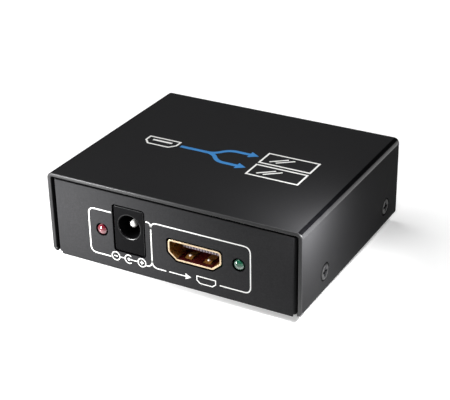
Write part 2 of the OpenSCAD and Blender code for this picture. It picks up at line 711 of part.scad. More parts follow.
// All contacts of a socket: a row on each face of the tongue, with tails behind
module port_contacts() {
    for (i = [0:upper_contact_count - 1])
        port_contact((i - (upper_contact_count - 1) / 2) * contact_pitch, tongue_h + tongue_t);
    for (i = [0:lower_contact_count - 1])
        port_contact((i - (lower_contact_count - 1) / 2) * contact_pitch, tongue_h - contact_t);
}
module port_contact(x, z) {
    tip_y = tongue_setback + contact_setback;
    translate([x, 0, 0]) {
        slab(contact_w, tip_y, port_l + contact_t, z, z + contact_t);
        slab(contact_tail_w, port_l, port_l + contact_t, -port_lift, z + contact_t);
        slab(contact_tail_w, port_l, port_l + contact_foot_l, -port_lift, contact_t - port_lift);
    }
}
// Moulded insulator: a rear block, the contact tongue and a foot on the board
module port_insulator() {
    foot_w = port_floor_w - 2 * port_fit_gap;
    foot_y0 = port_floor_l + port_fit_gap;
    difference() {
        union() {
            along_y(port_block_y, port_l)
                polygon(filleted(grown(port_outline, -port_fit_gap), port_corner_r));
            slab(tongue_w, tongue_setback, port_l, tongue_h, tongue_h + tongue_t);
            slab(foot_w, foot_y0, port_l, -port_lift, port_slant_h);
        }
        port_contacts();
    }
}
// One pair of spring fingers, in the upper wall, each turning about its rounded root
module finger_pair(x) {
    wall_mid = port_h + port_shell_t / 2;
    root = [finger_root_y, wall_mid];
    path = [root, [finger_root_y - finger_flat_l, wall_mid],
        [finger_bulge_y, port_h - finger_bulge + finger_t / 2], [finger_tip_y, wall_mid]];
    mirrored([1, 0, 0]) translate([x, 0, 0]) along_x(-finger_w / 2, finger_w / 2) {
        translate(root) circle(finger_root_r);
        polygon(strip(path, finger_t));
    }
}
module upper_fingers() { finger_pair(upper_finger_x); }
module lower_fingers() { translate([0, 0, port_h]) mirror([0, 0, 1]) finger_pair(lower_finger_x); }

module input_shell() { color(shell_colour) at_port(input_x, false) port_shell(); }
module input_insulator() { color(insulator_colour) at_port(input_x, false) port_insulator(); }
module input_contacts() { color(contact_colour) at_port(input_x, false) port_contacts(); }
module input_upper_springs() { color(shell_colour) at_port(input_x, false) upper_fingers(); }
module input_lower_springs() { color(shell_colour) at_port(input_x, false) lower_fingers(); }
module output_1_shell() { color(shell_colour) at_port(output_1_x, true) port_shell(); }
module output_1_insulator() { color(insulator_colour) at_port(output_1_x, true) port_insulator(); }
module output_1_contacts() { color(contact_colour) at_port(output_1_x, true) port_contacts(); }
module output_1_upper_springs() { color(shell_colour) at_port(output_1_x, true) upper_fingers(); }
module output_1_lower_springs() { color(shell_colour) at_port(output_1_x, true) lower_fingers(); }
module output_2_shell() { color(shell_colour) at_port(output_2_x, true) port_shell(); }
module output_2_insulator() { color(insulator_colour) at_port(output_2_x, true) port_insulator(); }
module output_2_contacts() { color(contact_colour) at_port(output_2_x, true) port_contacts(); }
module output_2_upper_springs() { color(shell_colour) at_port(output_2_x, true) upper_fingers(); }
module output_2_lower_springs() { color(shell_colour) at_port(output_2_x, true) lower_fingers(); }

// A row of leads on the +Y side of a chip, each from the chip's side down to the board
module lead_row(size, count, pitch) {
    mid = size[2] / 2;
    for (i = [0:count - 1])
        translate([(i - (count - 1) / 2) * pitch, size[1] / 2, board_top]) {
            slab(lead_w, 0, lead_reach / 2, mid - lead_t / 2, mid + lead_t / 2);
            slab(lead_w, lead_reach / 2 - lead_t, lead_reach / 2, 0, mid);
            slab(lead_w, lead_reach / 2 - lead_t, lead_reach, 0, lead_t);
        }
}
module chip_leads(size, at, count, pitch) {
    translate([at[0], at[1], 0]) mirrored([0, 1, 0]) lead_row(size, count, pitch);
}
module splitter_chip() { color(chip_colour) on_board(splitter_size, splitter_at); }
module splitter_chip_leads() {
    turned_size = [splitter_size[1], splitter_size[0], splitter_size[2]];
    color(lead_colour) translate([splitter_at[0], splitter_at[1], 0]) {
        mirrored([0, 1, 0]) lead_row(splitter_size, splitter_leads_a_side, splitter_lead_pitch);
        rotate([0, 0, 90]) mirrored([0, 1, 0])
            lead_row(turned_size, splitter_leads_a_side, splitter_lead_pitch);
    }
}
module controller_chip() { color(chip_colour) on_board(controller_size, controller_at); }
module controller_chip_leads() {
    color(lead_colour)
        chip_leads(controller_size, controller_at, controller_leads_a_side, controller_lead_pitch);
}
module memory_chips() { color(chip_colour) for (at = memory_at) on_board(memory_size, at); }
module memory_chip_leads() {
    color(lead_colour) for (at = memory_at)
        chip_leads(memory_size, at, memory_leads_a_side, memory_lead_pitch);
}
module voltage_regulators() { color(chip_colour) for (at = regulator_at) on_board(regulator_size, at); }
module voltage_regulator_leads() {
    tab_w = regulator_size[0] / 2;
    color(lead_colour) for (at = regulator_at) translate([at[0], at[1], 0]) {
        mirror([0, 1, 0]) lead_row(regulator_size, regulator_leads, regulator_lead_pitch);
        translate([0, regulator_size[1] / 2, board_top]) slab(tab_w, 0, 2 * lead_reach, 0, lead_t);
    }
}
// Steel can with two round ends, on its flat base
module crystal_can() {
    r = crystal_size[1] / 2;
    run = crystal_size[0] - crystal_size[1];
    color("#c8c9c4") translate([crystal_at[0], crystal_at[1], board_top]) {
        slab(run, -r, r, 0, crystal_size[2]);
        mirrored([1, 0, 0]) translate([run / 2, 0, 0]) cylinder(r = r, h = crystal_size[2]);
    }
}
module electrolytic_cans() {
    color("#b8bcc2") for (at = electrolytic_at)
        translate([at[0], at[1], board_top + electrolytic_base_h])
            cylinder(d = electrolytic_d, h = electrolytic_l);
}
module electrolytic_bases() {
    side = electrolytic_d + 2 * electrolytic_base_rim;
    color("#161616") for (at = electrolytic_at) on_board([side, side, electrolytic_base_h], at);
}
// Ferrite block with a round wound core showing on top
module power_inductor() {
    color("#3a3a3c") {
        on_board(inductor_size, inductor_at);
        translate([inductor_at[0], inductor_at[1], board_top + inductor_size[2]])
            cylinder(d = inductor_core_d, h = inductor_core_h);
    }
}
// Small parts in rows behind each video socket and round the main chip
module behind_each_port(y) { at_each_port() translate([0, port_l + y, -port_lift]) children(); }
module surge_arrays() {
    color("#232323") behind_each_port(surge_behind) for (x = [-surge_x, surge_x])
        translate([x, 0, 0]) slab(surge_size[0], 0, surge_size[1], 0, surge_size[2]);
}
module chip_resistors() {
    side_x = surge_x + surge_size[0];
    color("#2b2b2b") behind_each_port(surge_behind) mirrored([1, 0, 0])
        translate([side_x, 0, 0]) slab(chip_size[0], 0, chip_size[1], 0, chip_size[2]);
}
module chip_capacitors() {
    color("#b49a72") for (i = [0:chips_in_row - 1], x = [-chip_ring, chip_ring])
        on_board([chip_size[1], chip_size[0], chip_size[2]],
            [splitter_at[0] + x, splitter_at[1] + (i - (chips_in_row - 1) / 2) * chip_pitch]);
}

cover_shell();
base_tray();
case_screws();
rubber_feet();
circuit_board();
board_standoffs();
board_screws();
dc_jack_housing();
dc_jack_centre_pin();
dc_jack_sleeve_terminal();
dc_jack_sleeve_spring();
dc_jack_shunt_contact();
power_lamp_lens();
power_lamp_leads();
input_lamp_lens();
input_lamp_leads();
output_1_lamp_lens();
output_1_lamp_leads();
output_2_lamp_lens();
output_2_lamp_leads();
input_shell();
input_insulator();
input_contacts();
input_upper_springs();
input_lower_springs();
output_1_shell();
output_1_insulator();
output_1_contacts();
output_1_upper_springs();
output_1_lower_springs();
output_2_shell();
output_2_insulator();
output_2_contacts();
output_2_upper_springs();
output_2_lower_springs();
splitter_chip();
splitter_chip_leads();
controller_chip();
controller_chip_leads();
memory_chips();
memory_chip_leads();
voltage_regulators();
voltage_regulator_leads();
crystal_can();
electrolytic_cans();
electrolytic_bases();
power_inductor();
surge_arrays();
chip_resistors();
chip_capacitors();
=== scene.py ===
import json
import math

import bmesh
import bpy
from mathutils import Matrix, Vector


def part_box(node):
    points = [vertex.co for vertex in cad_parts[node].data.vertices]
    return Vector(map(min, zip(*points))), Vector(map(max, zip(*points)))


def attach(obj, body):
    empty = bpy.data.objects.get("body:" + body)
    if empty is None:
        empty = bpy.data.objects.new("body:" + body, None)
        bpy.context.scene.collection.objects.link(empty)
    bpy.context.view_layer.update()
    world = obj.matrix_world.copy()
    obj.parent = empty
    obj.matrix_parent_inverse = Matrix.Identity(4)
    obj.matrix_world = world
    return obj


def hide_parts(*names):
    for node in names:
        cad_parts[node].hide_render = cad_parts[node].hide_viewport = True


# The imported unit
# The solids come in at their real places, in metres, with the unit standing on z = 0 and its
# front facing -Y. What follows keeps to the box that they fill, with only the top's ink above it.
# Sizes are written in millimetres.
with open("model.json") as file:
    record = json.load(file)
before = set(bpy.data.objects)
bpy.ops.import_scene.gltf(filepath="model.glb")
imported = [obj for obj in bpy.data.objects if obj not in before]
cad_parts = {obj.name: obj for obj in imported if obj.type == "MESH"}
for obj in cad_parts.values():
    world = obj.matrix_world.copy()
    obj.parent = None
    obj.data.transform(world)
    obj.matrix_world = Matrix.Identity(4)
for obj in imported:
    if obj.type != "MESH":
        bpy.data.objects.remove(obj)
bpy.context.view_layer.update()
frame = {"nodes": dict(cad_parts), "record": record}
mm = 0.001
body_of = {}
for body, members in frame["record"]["behaviour"]["bodies"].items():
    for member in members:
        body_of[member] = body


# Base tray
# One folding of 0.8 mm steel sheet: a dished floor and two end panels, punched flat, bent on a
# press brake and powder-coated satin black. It carries everything else.
def tint(code):
    """Linear colour of a written #rrggbb shade."""
    channels = [int(code[i:i + 2], 16) / 255 for i in (1, 3, 5)]
    linear = [c / 12.92 if c < 0.04045 else ((c + 0.055) / 1.055) ** 2.4 for c in channels]
    return (*linear, 1.0)


def surface_finish(name, dark, light, grain, rough, relief, **sockets):
    """A finish whose tone and roughness follow a fine grain, with that grain raised as relief.

    grain is the pattern's size and relief its depth, both in millimetres. sockets sets further
    values on the shader, with _ for a space.
    """
    grain_low = 0.3
    grain_high = 0.7
    grain_detail = 3
    relief_strength = 0.5
    material = bpy.data.materials.new(name)
    material.use_nodes = True
    nodes = material.node_tree.nodes
    links = material.node_tree.links
    shader = nodes["Principled BSDF"]
    for socket, value in sockets.items():
        shader.inputs[socket.replace("_", " ")].default_value = value
    place = nodes.new("ShaderNodeTexCoord")
    place.name = "place"
    noise = nodes.new("ShaderNodeTexNoise")
    noise.inputs["Scale"].default_value = 1 / (grain * mm)
    noise.inputs["Detail"].default_value = grain_detail
    links.new(place.outputs["Object"], noise.inputs["Vector"])
    tones = nodes.new("ShaderNodeValToRGB")
    tones.name = "tones"
    low, high = tones.color_ramp.elements
    low.position = grain_low
    low.color = tint(dark)
    high.position = grain_high
    high.color = tint(light)
    links.new(noise.outputs["Fac"], tones.inputs["Fac"])
    links.new(tones.outputs["Color"], shader.inputs["Base Color"])
    polish = nodes.new("ShaderNodeMapRange")
    polish.inputs["From Min"].default_value = grain_low
    polish.inputs["From Max"].default_value = grain_high
    polish.inputs["To Min"].default_value = rough[0]
    polish.inputs["To Max"].default_value = rough[1]
    links.new(noise.outputs["Fac"], polish.inputs["Value"])
    links.new(polish.outputs["Result"], shader.inputs["Roughness"])
    bump = nodes.new("ShaderNodeBump")
    bump.inputs["Strength"].default_value = relief_strength
    bump.inputs["Distance"].default_value = relief * mm
    links.new(noise.outputs["Fac"], bump.inputs["Height"])
    links.new(bump.outputs["Normal"], shader.inputs["Normal"])
    return material


def dress(node, finish):
    """Gives a solid that stays as it is its finish."""
    for material_slot in frame["nodes"][node].material_slots:
        material_slot.material = finish


def into_scene(name, shape, *finishes):
    """Turns a worked mesh into an object with its finishes."""
    mesh = bpy.data.meshes.new(name)
    shape.to_mesh(mesh)
    shape.free()
    for finish in finishes:
        mesh.materials.append(finish)
    thing = bpy.data.objects.new(name, mesh)
    bpy.context.scene.collection.objects.link(thing)
    return thing


def softened(node, finish, radius, steps=2, where=None, coats=()):
    """Stands a copy with small rounded edges, as tools and paint leave them, in a solid's place.

    where(edge) picks the edges to round; without it all are. coats pairs each further finish with a
    test that picks its faces, and a face that the rounding made is tagged.
    """
    weld_reach = 1e-4
    edge_angle = math.radians(28)
    crisp_angle = math.radians(40)
    shape = bmesh.new()
    shape.from_mesh(frame["nodes"][node].data)
    bmesh.ops.remove_doubles(shape, verts=shape.verts, dist=weld_reach * mm)
    sharp = [edge for edge in shape.edges if edge.calc_face_angle(0) > edge_angle]
    if where:
        sharp = [edge for edge in sharp if where(edge)]
    rounding = bmesh.ops.bevel(
        shape, geom=sharp, offset=radius * mm, segments=steps, profile=0.5,
        affect="EDGES", clamp_overlap=False, loop_slide=False,
    )
    shape.normal_update()
    for face in shape.faces:
        face.tag = False
    for face in rounding["faces"]:
        face.tag = True
    for index, (coat, picks) in enumerate(coats, start=1):
        for face in shape.faces:
            if picks(face):
                face.material_index = index
    piece = into_scene(node + "_softened", shape, finish, *[coat for coat, picks in coats])
    piece.data.shade_smooth()
    piece.data.set_sharp_from_angle(angle=crisp_angle)
    evened = piece.modifiers.new("flat_faces", "WEIGHTED_NORMAL")
    evened.keep_sharp = True
    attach(piece, body_of[node])
    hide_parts(node)
    return piece


tray_paint = surface_finish(
    "tray_paint", "#2c2c2d", "#323233", grain=0.35, rough=(0.5, 0.62), relief=0.012,
    Specular_IOR_Level=0.012,
)
# Near-black coat for the walls of the panels' openings: painted shade in the gaps round the sockets, lamps
# and jack
painted_hole_shade = surface_finish(
    "painted_hole_shade", "#070708", "#0b0b0c", grain=0.35, rough=(0.5, 0.62), relief=0.006,
    Specular_IOR_Level=0.012,
)
tray_low, tray_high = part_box("base_tray")
panel_depth = 0.9
hole_margin = 3
hole_wall_tilt = 0.6


def in_hole(face):
    """The walls of the openings in both end panels, whose darker coat is painted shade."""
    centre = face.calc_center_median()
    margin = hole_margin * mm
    is_wall = abs(face.normal.y) < hole_wall_tilt
    in_panel = abs(centre.y) > tray_high[1] - panel_depth * mm
    off_sides = abs(centre.x) < tray_high[0] - margin
    off_edges = tray_low[2] + margin < centre.z < tray_high[2] - margin
    return is_wall and in_panel and off_sides and off_edges


softened("base_tray", tray_paint, radius=0.12, coats=((painted_hole_shade, in_hole),))

# Rubber feet
# Four dark rubber buttons, moulded with eased rims and stuck to the tray's underside with their own
# adhesive.
foot_rubber = surface_finish(
    "foot_rubber", "#161616", "#222222", grain=0.5, rough=(0.7, 0.9), relief=0.03,
)
softened("rubber_feet", foot_rubber, radius=0.25, steps=3)

# Standoffs and board screws
# Turned steel standoffs are clinched into the tray floor, and four pan-head screws, zinc plated,
# hold the board down on them.
bright_steel = surface_finish(
    "bright_steel", "#a9abae", "#c6c8ca", grain=0.8, rough=(0.24, 0.38), relief=0.004, Metallic=1.0,
)
for node in ("board_standoffs", "board_screws"):
    dress(node, bright_steel)

# Circuit board
# Glass-fibre laminate with copper tracks under a green solder mask, drilled and routed to its
# outline, and screwed down on the standoffs.
board_laminate = surface_finish(
    "board_laminate", "#0d3d22", "#1a5a33", grain=1.6, rough=(0.3, 0.42), relief=0.02,
)
dress("circuit_board", board_laminate)

# Parts on the board
# Moulded chips with tinned leads, a steel crystal can, aluminium cans on plastic bases, a wound
# inductor in a ferrite block and small ceramic parts, all soldered down by reflow.
chip_plastic = surface_finish(
    "chip_plastic", "#151517", "#212123", grain=0.4, rough=(0.5, 0.68), relief=0.015,
)
tinned_lead = surface_finish(
    "tinned_lead", "#b3b3b0", "#d0d0cc", grain=0.6, rough=(0.25, 0.4), relief=0.005, Metallic=1.0,
)
can_aluminium = surface_finish(
    "can_aluminium", "#bfc2c6", "#dadcdf", grain=1.2, rough=(0.22, 0.34), relief=0.004, Metallic=1.0,
)
ferrite = surface_finish("ferrite", "#2b2b2e", "#3c3c40", grain=0.5, rough=(0.55, 0.75), relief=0.02)
chip_ceramic = surface_finish(
    "chip_ceramic", "#9c8260", "#b59a74", grain=0.5, rough=(0.4, 0.55), relief=0.01,
)
board_finishes = {
    "splitter_chip": chip_plastic,
    "controller_chip": chip_plastic,
    "memory_chips": chip_plastic,
    "voltage_regulators": chip_plastic,
    "surge_arrays": chip_plastic,
    "chip_resistors": chip_plastic,
    "electrolytic_bases": chip_plastic,
    "splitter_chip_leads": tinned_lead,
    "controller_chip_leads": tinned_lead,
    "memory_chip_leads": tinned_lead,
    "voltage_regulator_leads": tinned_lead,
    "crystal_can": bright_steel,
    "electrolytic_cans": can_aluminium,
    "power_inductor": ferrite,
    "chip_capacitors": chip_ceramic,
}
for node, finish in board_finishes.items():
    dress(node, finish)

# Power socket
# A block moulded in black plastic with a round bore, a plated centre pin and pressed contact
# strips. Its terminals are soldered to the board and its face fills the panel's window.
mouth_middle = {}
for opening in frame["record"]["physics"]["openings"]:
    box_low, box_high = opening["box_m"]
    mouth_middle[opening["name"]] = (Vector(box_low) + Vector(box_high)) / 2
bore_lip_r = 3.8
# How far a face leans forward: 0 runs straight back and 1 lies in the front
slant_least = 0.2
slant_most = 0.95


def slants_forward(face):
    """Faces that neither lie in the front nor run straight back from it."""
    return slant_least < -face.normal.y < slant_most


def on_lip(face):
    """The bore's lead-in, which slants forward."""
    reach = face.calc_center_median() - mouth_middle["power_socket_mouth"]
    reach.y = 0
    return slants_forward(face) and reach.length < bore_lip_r * mm


def on_rim(face):
    """The rounded edges round the front."""
    return slants_forward(face) and not on_lip(face)


jack_plastic = surface_finish(
    "jack_plastic", "#070708", "#0b0b0c", grain=0.3, rough=(0.4, 0.5), relief=0.006,
    Specular_IOR_Level=0.03,
)
# A slightly lighter coat on the bore's lead-in, a faint painted highlight there
jack_lip_highlight = surface_finish(
    "jack_lip_highlight", "#0c0c0d", "#121213", grain=0.3, rough=(0.22, 0.3), relief=0.004,
    Specular_IOR_Level=0.3,
)
# Lighter coat on the rounded edges round the face: a painted highlight along them
jack_rim_highlight = surface_finish(
    "jack_rim_highlight", "#1c1c1d", "#242425", grain=0.3, rough=(0.24, 0.34), relief=0.004,
    Specular_IOR_Level=0.5,
)
softened("dc_jack_housing", jack_plastic, radius=0.22, steps=3,
         coats=((jack_lip_highlight, on_lip), (jack_rim_highlight, on_rim)))
bright_pin = surface_finish(
    "bright_pin", "#d6d6d4", "#e6e6e3", grain=0.5, rough=(0.5, 0.6), relief=0.003, Metallic=0.8,
)
dress("dc_jack_centre_pin", bright_pin)
contact_strip = surface_finish(
    "contact_strip", "#b8b5ac", "#d2cfc6", grain=0.6, rough=(0.22, 0.34), relief=0.003, Metallic=1.0,
)
for node in ("dc_jack_sleeve_terminal", "dc_jack_sleeve_spring", "dc_jack_shunt_contact"):
    dress(node, contact_strip)

# Video sockets
# Each is a shell folded from gold-flashed sheet with a flared mouth and dimpled spring fingers, round
# a moulded block whose tongue carries the plated contacts.
gold_plate = surface_finish(
    "gold_plate", "#b8a486", "#c8b498", grain=0.7, rough=(0.26, 0.36), relief=0.004, Metallic=1.0,
)
# A darker, browner and less metallic copy of the gold for the shell's inside and the springs: painted shade
# inside the socket
shaded_inner_gold = surface_finish(
    "shaded_inner_gold", "#a8763a", "#bc8a48", grain=0.7, rough=(0.24, 0.34), relief=0.006, Metallic=0.7,
)
# A dark red coat on the tube's floor: painted shade and a painted red reflection in the socket's depth
painted_floor_reflection = surface_finish(
    "painted_floor_reflection", "#4c1216", "#62201c", grain=0.9, rough=(0.24, 0.34), relief=0.006, Metallic=0.5,
)
# A plain white coat on the dimples: a painted glint on each
dimple_glint_white = surface_finish(
    "dimple_glint_white", "#f0ebe2", "#faf6ee", grain=0.5, rough=(0.3, 0.4), relief=0.003,
)
insulator_plastic = surface_finish(
    "insulator_plastic", "#5c0d14", "#74141c", grain=0.4, rough=(0.4, 0.55), relief=0.008,
)
contact_plate = surface_finish(
    "contact_plate", "#c9c2cf", "#e2dde6", grain=0.4, rough=(0.2, 0.32), relief=0.003, Metallic=1.0,
)
contact_ends = surface_finish(
    "contact_ends", "#2a242a", "#7c747e", grain=0.4, rough=(0.3, 0.42), relief=0.003,
)
contact_pitch = 0.8
# Length of one wave of the pattern at a scale of 1
wave_length = math.tau / 20
end_nodes = contact_ends.node_tree.nodes
end_links = contact_ends.node_tree.links
contact_row = end_nodes.new("ShaderNodeTexWave")
contact_row.inputs["Scale"].default_value = wave_length / (contact_pitch * mm)
end_links.new(end_nodes["place"].outputs["Object"], contact_row.inputs["Vector"])
end_links.new(contact_row.outputs["Fac"], end_nodes["tones"].inputs["Fac"])
finger_w = 1.9
bulge_from_tip = 1.2
dimple_r = 0.42
dimple_h = 0.3
dimple_sink = 0.12
tongue_depth = 4.0
# Shares of a face's normal along an axis: facing it, running along it and leaning well upward
square_on = 0.99
edge_on = 0.5
slant_up = 0.8


def arc(centre, radius, start, end, steps=24):
    """Points of a circle's arc between two angles in degrees."""
    points = []
    for i in range(steps + 1):
        turn = math.radians(start + (end - start) * i / steps)
        points.append((centre[0] + radius * math.cos(turn), centre[1] + radius * math.sin(turn)))
    return points


def finger_dimples(port, side):
    """Round dimples pressed into a pair of spring fingers, where they touch the plug."""
    rings = 6
    spokes = 20
    low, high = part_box(port + "_" + side + "_springs")
    outward = -1 if low[1] < 0 else 1
    tip_y = low[1] if outward < 0 else high[1]
    crown_z, rise = (high[2], 1) if side == "lower" else (low[2], -1)
    base_z = crown_z - rise * dimple_sink * mm
    shape = bmesh.new()
    for middle_x in (low[0] + finger_w / 2 * mm, high[0] - finger_w / 2 * mm):
        middle = Vector((middle_x, tip_y - outward * bulge_from_tip * mm, base_z))
        below = None
        for i in range(rings):
            climb = math.radians(90 * i / rings)
            radius = dimple_r * math.cos(climb) * mm
            lift = rise * dimple_h * math.sin(climb) * mm
            ring = []
            for u, v in arc((0, 0), radius, 0, 360 - 360 / spokes, steps=spokes - 1):
                ring.append(shape.verts.new(middle + Vector((u, v, lift))))
            if below is None:
                shape.faces.new(ring)
            else:
                for k in range(spokes):
                    after = (k + 1) % spokes
                    shape.faces.new((below[k], below[after], ring[after], ring[k]))
            below = ring
        crown = shape.verts.new(middle + Vector((0, 0, rise * dimple_h * mm)))
        for k in range(spokes):
            shape.faces.new((below[k], below[(k + 1) % spokes], crown))
    bmesh.ops.recalc_face_normals(shape, faces=shape.faces)
    piece = into_scene(port + "_" + side + "_dimples", shape, dimple_glint_white)
    piece.data.shade_smooth()
    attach(piece, body_of[port + "_" + side + "_springs"])


def in_tube(middle):
    """A test for faces that look towards a tube's middle line."""
    def picks(face):
        inward = middle - face.calc_center_median()
        inward.y = 0
        return abs(face.normal.y) < edge_on and face.normal.dot(inward) > 0
    return picks


def on_floor(middle):
    """A test for the tube's floor."""
    def picks(face):
        return face.normal.z > square_on and face.calc_center_median().z < middle.z
    return picks


def on_floor_bend_highlight(middle):
    """A test for the bends between the tube's floor and its slanted walls, which carry a painted highlight.
    """
    def picks(face):
        low = face.calc_center_median().z < middle.z
        return low and slant_up < face.normal.z < square_on and abs(face.normal.y) < edge_on
    return picks


def at_tip(middle_y):
    """A test for the tongue's front face."""
    def picks(face):
        depth = abs(face.calc_center_median().y - middle_y)
        return abs(face.normal.y) > square_on and depth < tongue_depth * mm
    return picks


for port in ("input", "output_1", "output_2"):
    middle = mouth_middle[port + "_socket_mouth"]
    # The floor's bends take the bright rim gold as a painted highlight line
    softened(port + "_shell", gold_plate, radius=0.05, coats=(
        (shaded_inner_gold, in_tube(middle)), (painted_floor_reflection, on_floor(middle)), (gold_plate, on_floor_bend_highlight(middle))))
    softened(port + "_insulator", insulator_plastic, radius=0.04,
             coats=((contact_ends, at_tip(middle.y)),))
    dress(port + "_contacts", contact_plate)
    for side in ("upper", "lower"):
        dress(port + "_" + side + "_springs", shaded_inner_gold)
        finger_dimples(port, side)


# Lamps
# Small round lamps, cast in tinted clear resin with a domed tip, stand on bent tinned leads and
# look out through plain holes in the end panels.
def lens_finish(name, dark, light, pale):
    """Tinted clear resin with a polished skin, paler towards its rim."""
    return surface_finish(
        name, dark, light, grain=1.2, rough=(0.06, 0.14), relief=0.002, Transmission_Weight=0.2,
        Coat_Weight=1.0, Coat_Roughness=0.03, Sheen_Weight=0.6, Sheen_Roughness=0.3, Sheen_Tint=tint(pale),
    )


red_lens = lens_finish("red_lens", "#5c101c", "#701a28", "#ffc4cc")
green_lens = lens_finish("green_lens", "#0c4430", "#145c42", "#c4ffe4")
lamp_lenses = {"power": red_lens, "input": green_lens, "output_1": green_lens, "output_2": green_lens}
for lamp, lens in lamp_lenses.items():
    dress(lamp + "_lamp_lens", lens)
    dress(lamp + "_lamp_leads", tinned_lead)

# Cover shell
# A second folding of 1 mm sheet, bent over the top and both sides, with its lower edges rolled in
# and countersunk holes for the screws. It is powder-coated like the tray, in a darker tone that
# paints the top's shade, with painted shade in its countersinks and a painted dark line by its bends.
# The tray's powder coat in a darker tone: the difference paints the top's darker shading
cover_paint = surface_finish(
    "cover_paint", "#222223", "#272728", grain=0.35, rough=(0.5, 0.62), relief=0.012,
    Specular_IOR_Level=0.012,
)
# A near-black coat in the countersinks and on the rolled edges: painted shade
sink_shade_paint = surface_finish(
    "sink_shade_paint", "#0b0b0c", "#101011", grain=0.35, rough=(0.5, 0.62), relief=0.006,
    Specular_IOR_Level=0.02,
)
# A near-black coat along the bends beside the top: a painted dark line
painted_crease_line = surface_finish(
    "painted_crease_line", "#040405", "#070708", grain=2, rough=(0.5, 0.6), relief=0.001,
    Specular_IOR_Level=0.012,
)
bend_paint = surface_finish(
    "bend_paint", "#1c1c1d", "#232324", grain=2, rough=(0.15, 0.19), relief=0.001,
)
edge_paint = surface_finish(
    "edge_paint", "#1a1a1b", "#222223", grain=0.35, rough=(0.3, 0.4), relief=0.004,
    Specular_IOR_Level=0.32,
)
cover_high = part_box("cover_shell")[1]
end_depth = 0.3
# Slant of a countersink's faces, and how far a bend's faces turn away from the top or from a side
sink_least = 0.3
sink_most = 0.9
crease_start = math.cos(math.radians(10))
bend_start = math.cos(math.radians(48))
bend_end = math.cos(math.radians(4))
bend_reach = 1.6


def near_end(edge):
    """Edges round the cover's two open ends."""
    middle_y = (edge.verts[0].co.y + edge.verts[1].co.y) / 2
    return abs(middle_y) > cover_high[1] - end_depth * mm


def in_sink(face):
    """The countersinks in the side walls and what else slants there, such as the rolled edges."""
    off_ends = abs(face.calc_center_median().y) < cover_high[1] - end_depth * mm
    return sink_least < abs(face.normal.x) < sink_most and off_ends


def by_top(face):
    """The height of the bends between the top and the side walls."""
    return face.calc_center_median().z > cover_high[2] - bend_reach * mm


def on_crease(face):
    """The part of the bends beside the top."""
    return bend_start <= face.normal.z < crease_start and by_top(face)


def on_bend(face):
    """The outer part of the bends, down to the side walls."""
    return face.normal.z < bend_start and abs(face.normal.x) < bend_end and by_top(face)


def on_end(face):
    """The sheet's cut face at either end, and the rounding beside it."""
    return face.tag or abs(face.normal.y) > square_on


softened("cover_shell", cover_paint, radius=0.22, steps=3, where=near_end, coats=(
    (sink_shade_paint, in_sink), (painted_crease_line, on_crease), (bend_paint, on_bend), (edge_paint, on_end)))

# Case screws
# Black-oxide countersunk cross-head screws, two a side, driven through the cover into the tray's
# tapped ears.
black_screw = surface_finish(
    "black_screw", "#1c1c1e", "#262628", grain=0.4, rough=(0.34, 0.46), relief=0.006,
    Specular_IOR_Level=0.1,
)
# A near-black coat for the cross recess and the rounded rim: painted shade
painted_recess_shade = surface_finish(
    "painted_recess_shade", "#050505", "#080808", grain=0.4, rough=(0.5, 0.6), relief=0.006,
    Specular_IOR_Level=0.02,
)
screws_low, screws_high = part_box("case_screws")
screws_y = (screws_low[1] + screws_high[1]) / 2
screws_z = (screws_low[2] + screws_high[2]) / 2
head_r = 2.15
rim_slack = 0.05
recess_r = 1.35
recess_start = 0.05
rim_start = 1.5
rim_end = 1.62
rim_shade = 0.12


def off_axis(point):
    """A point's distance from the axis of the nearest screw."""
    axis_y = screws_low[1] + head_r * mm if point.y < 0 else screws_high[1] - head_r * mm
    return math.hypot(point.y - axis_y, point.z - screws_z)


def on_head_rim(edge):
    """The edge round each head."""
    middle = (edge.verts[0].co + edge.verts[1].co) / 2
    return off_axis(middle) > (head_r - rim_slack) * mm


def in_recess(face):
    """The cross-shaped recess in a screw's head."""
    centre = face.calc_center_median()
    return off_axis(centre) < recess_r * mm and abs(centre.x) < screws_high[0] - recess_start * mm


def in_shade(face):
    """The recess, and the rounded rim that sits in the countersink's shade."""
    return face.tag or in_recess(face)


def paint_rim_shade(finish):
    """Darkens each head toward its rim: painted shade from the gap round it."""
    nodes = finish.node_tree.nodes
    links = finish.node_tree.links

    def worked(operation, source, value=0.0):
        step = nodes.new("ShaderNodeMath")
        step.operation = operation
        step.inputs[1].default_value = value
        links.new(source, step.inputs[0])
        return step.outputs["Value"]

    split = nodes.new("ShaderNodeSeparateXYZ")
    links.new(nodes["place"].outputs["Object"], split.inputs["Vector"])
    from_middle = worked("ABSOLUTE", worked("SUBTRACT", split.outputs["Y"], screws_y))
    along = worked("SUBTRACT", from_middle, (screws_high[1] - screws_low[1]) / 2 - head_r * mm)
    upward = worked("SUBTRACT", split.outputs["Z"], screws_z)
    offset = nodes.new("ShaderNodeCombineXYZ")
    links.new(along, offset.inputs["X"])
    links.new(upward, offset.inputs["Y"])
    reach = nodes.new("ShaderNodeVectorMath")
    reach.operation = "LENGTH"
    links.new(offset.outputs["Vector"], reach.inputs[0])
    fade = nodes.new("ShaderNodeMapRange")
    fade.inputs["From Min"].default_value = rim_start * mm
    fade.inputs["From Max"].default_value = rim_end * mm
    fade.inputs["To Min"].default_value = 1
    fade.inputs["To Max"].default_value = rim_shade
    links.new(reach.outputs["Value"], fade.inputs["Value"])
    shaded = nodes.new("ShaderNodeVectorMath")
    shaded.operation = "SCALE"
    links.new(nodes["tones"].outputs["Color"], shaded.inputs[0])
    links.new(fade.outputs["Result"], shaded.inputs["Scale"])
    links.new(shaded.outputs["Vector"], nodes["Principled BSDF"].inputs["Base Color"])


paint_rim_shade(black_screw)
softened("case_screws", black_screw, radius=0.14, where=on_head_rim,
         coats=((painted_recess_shade, in_shade),))

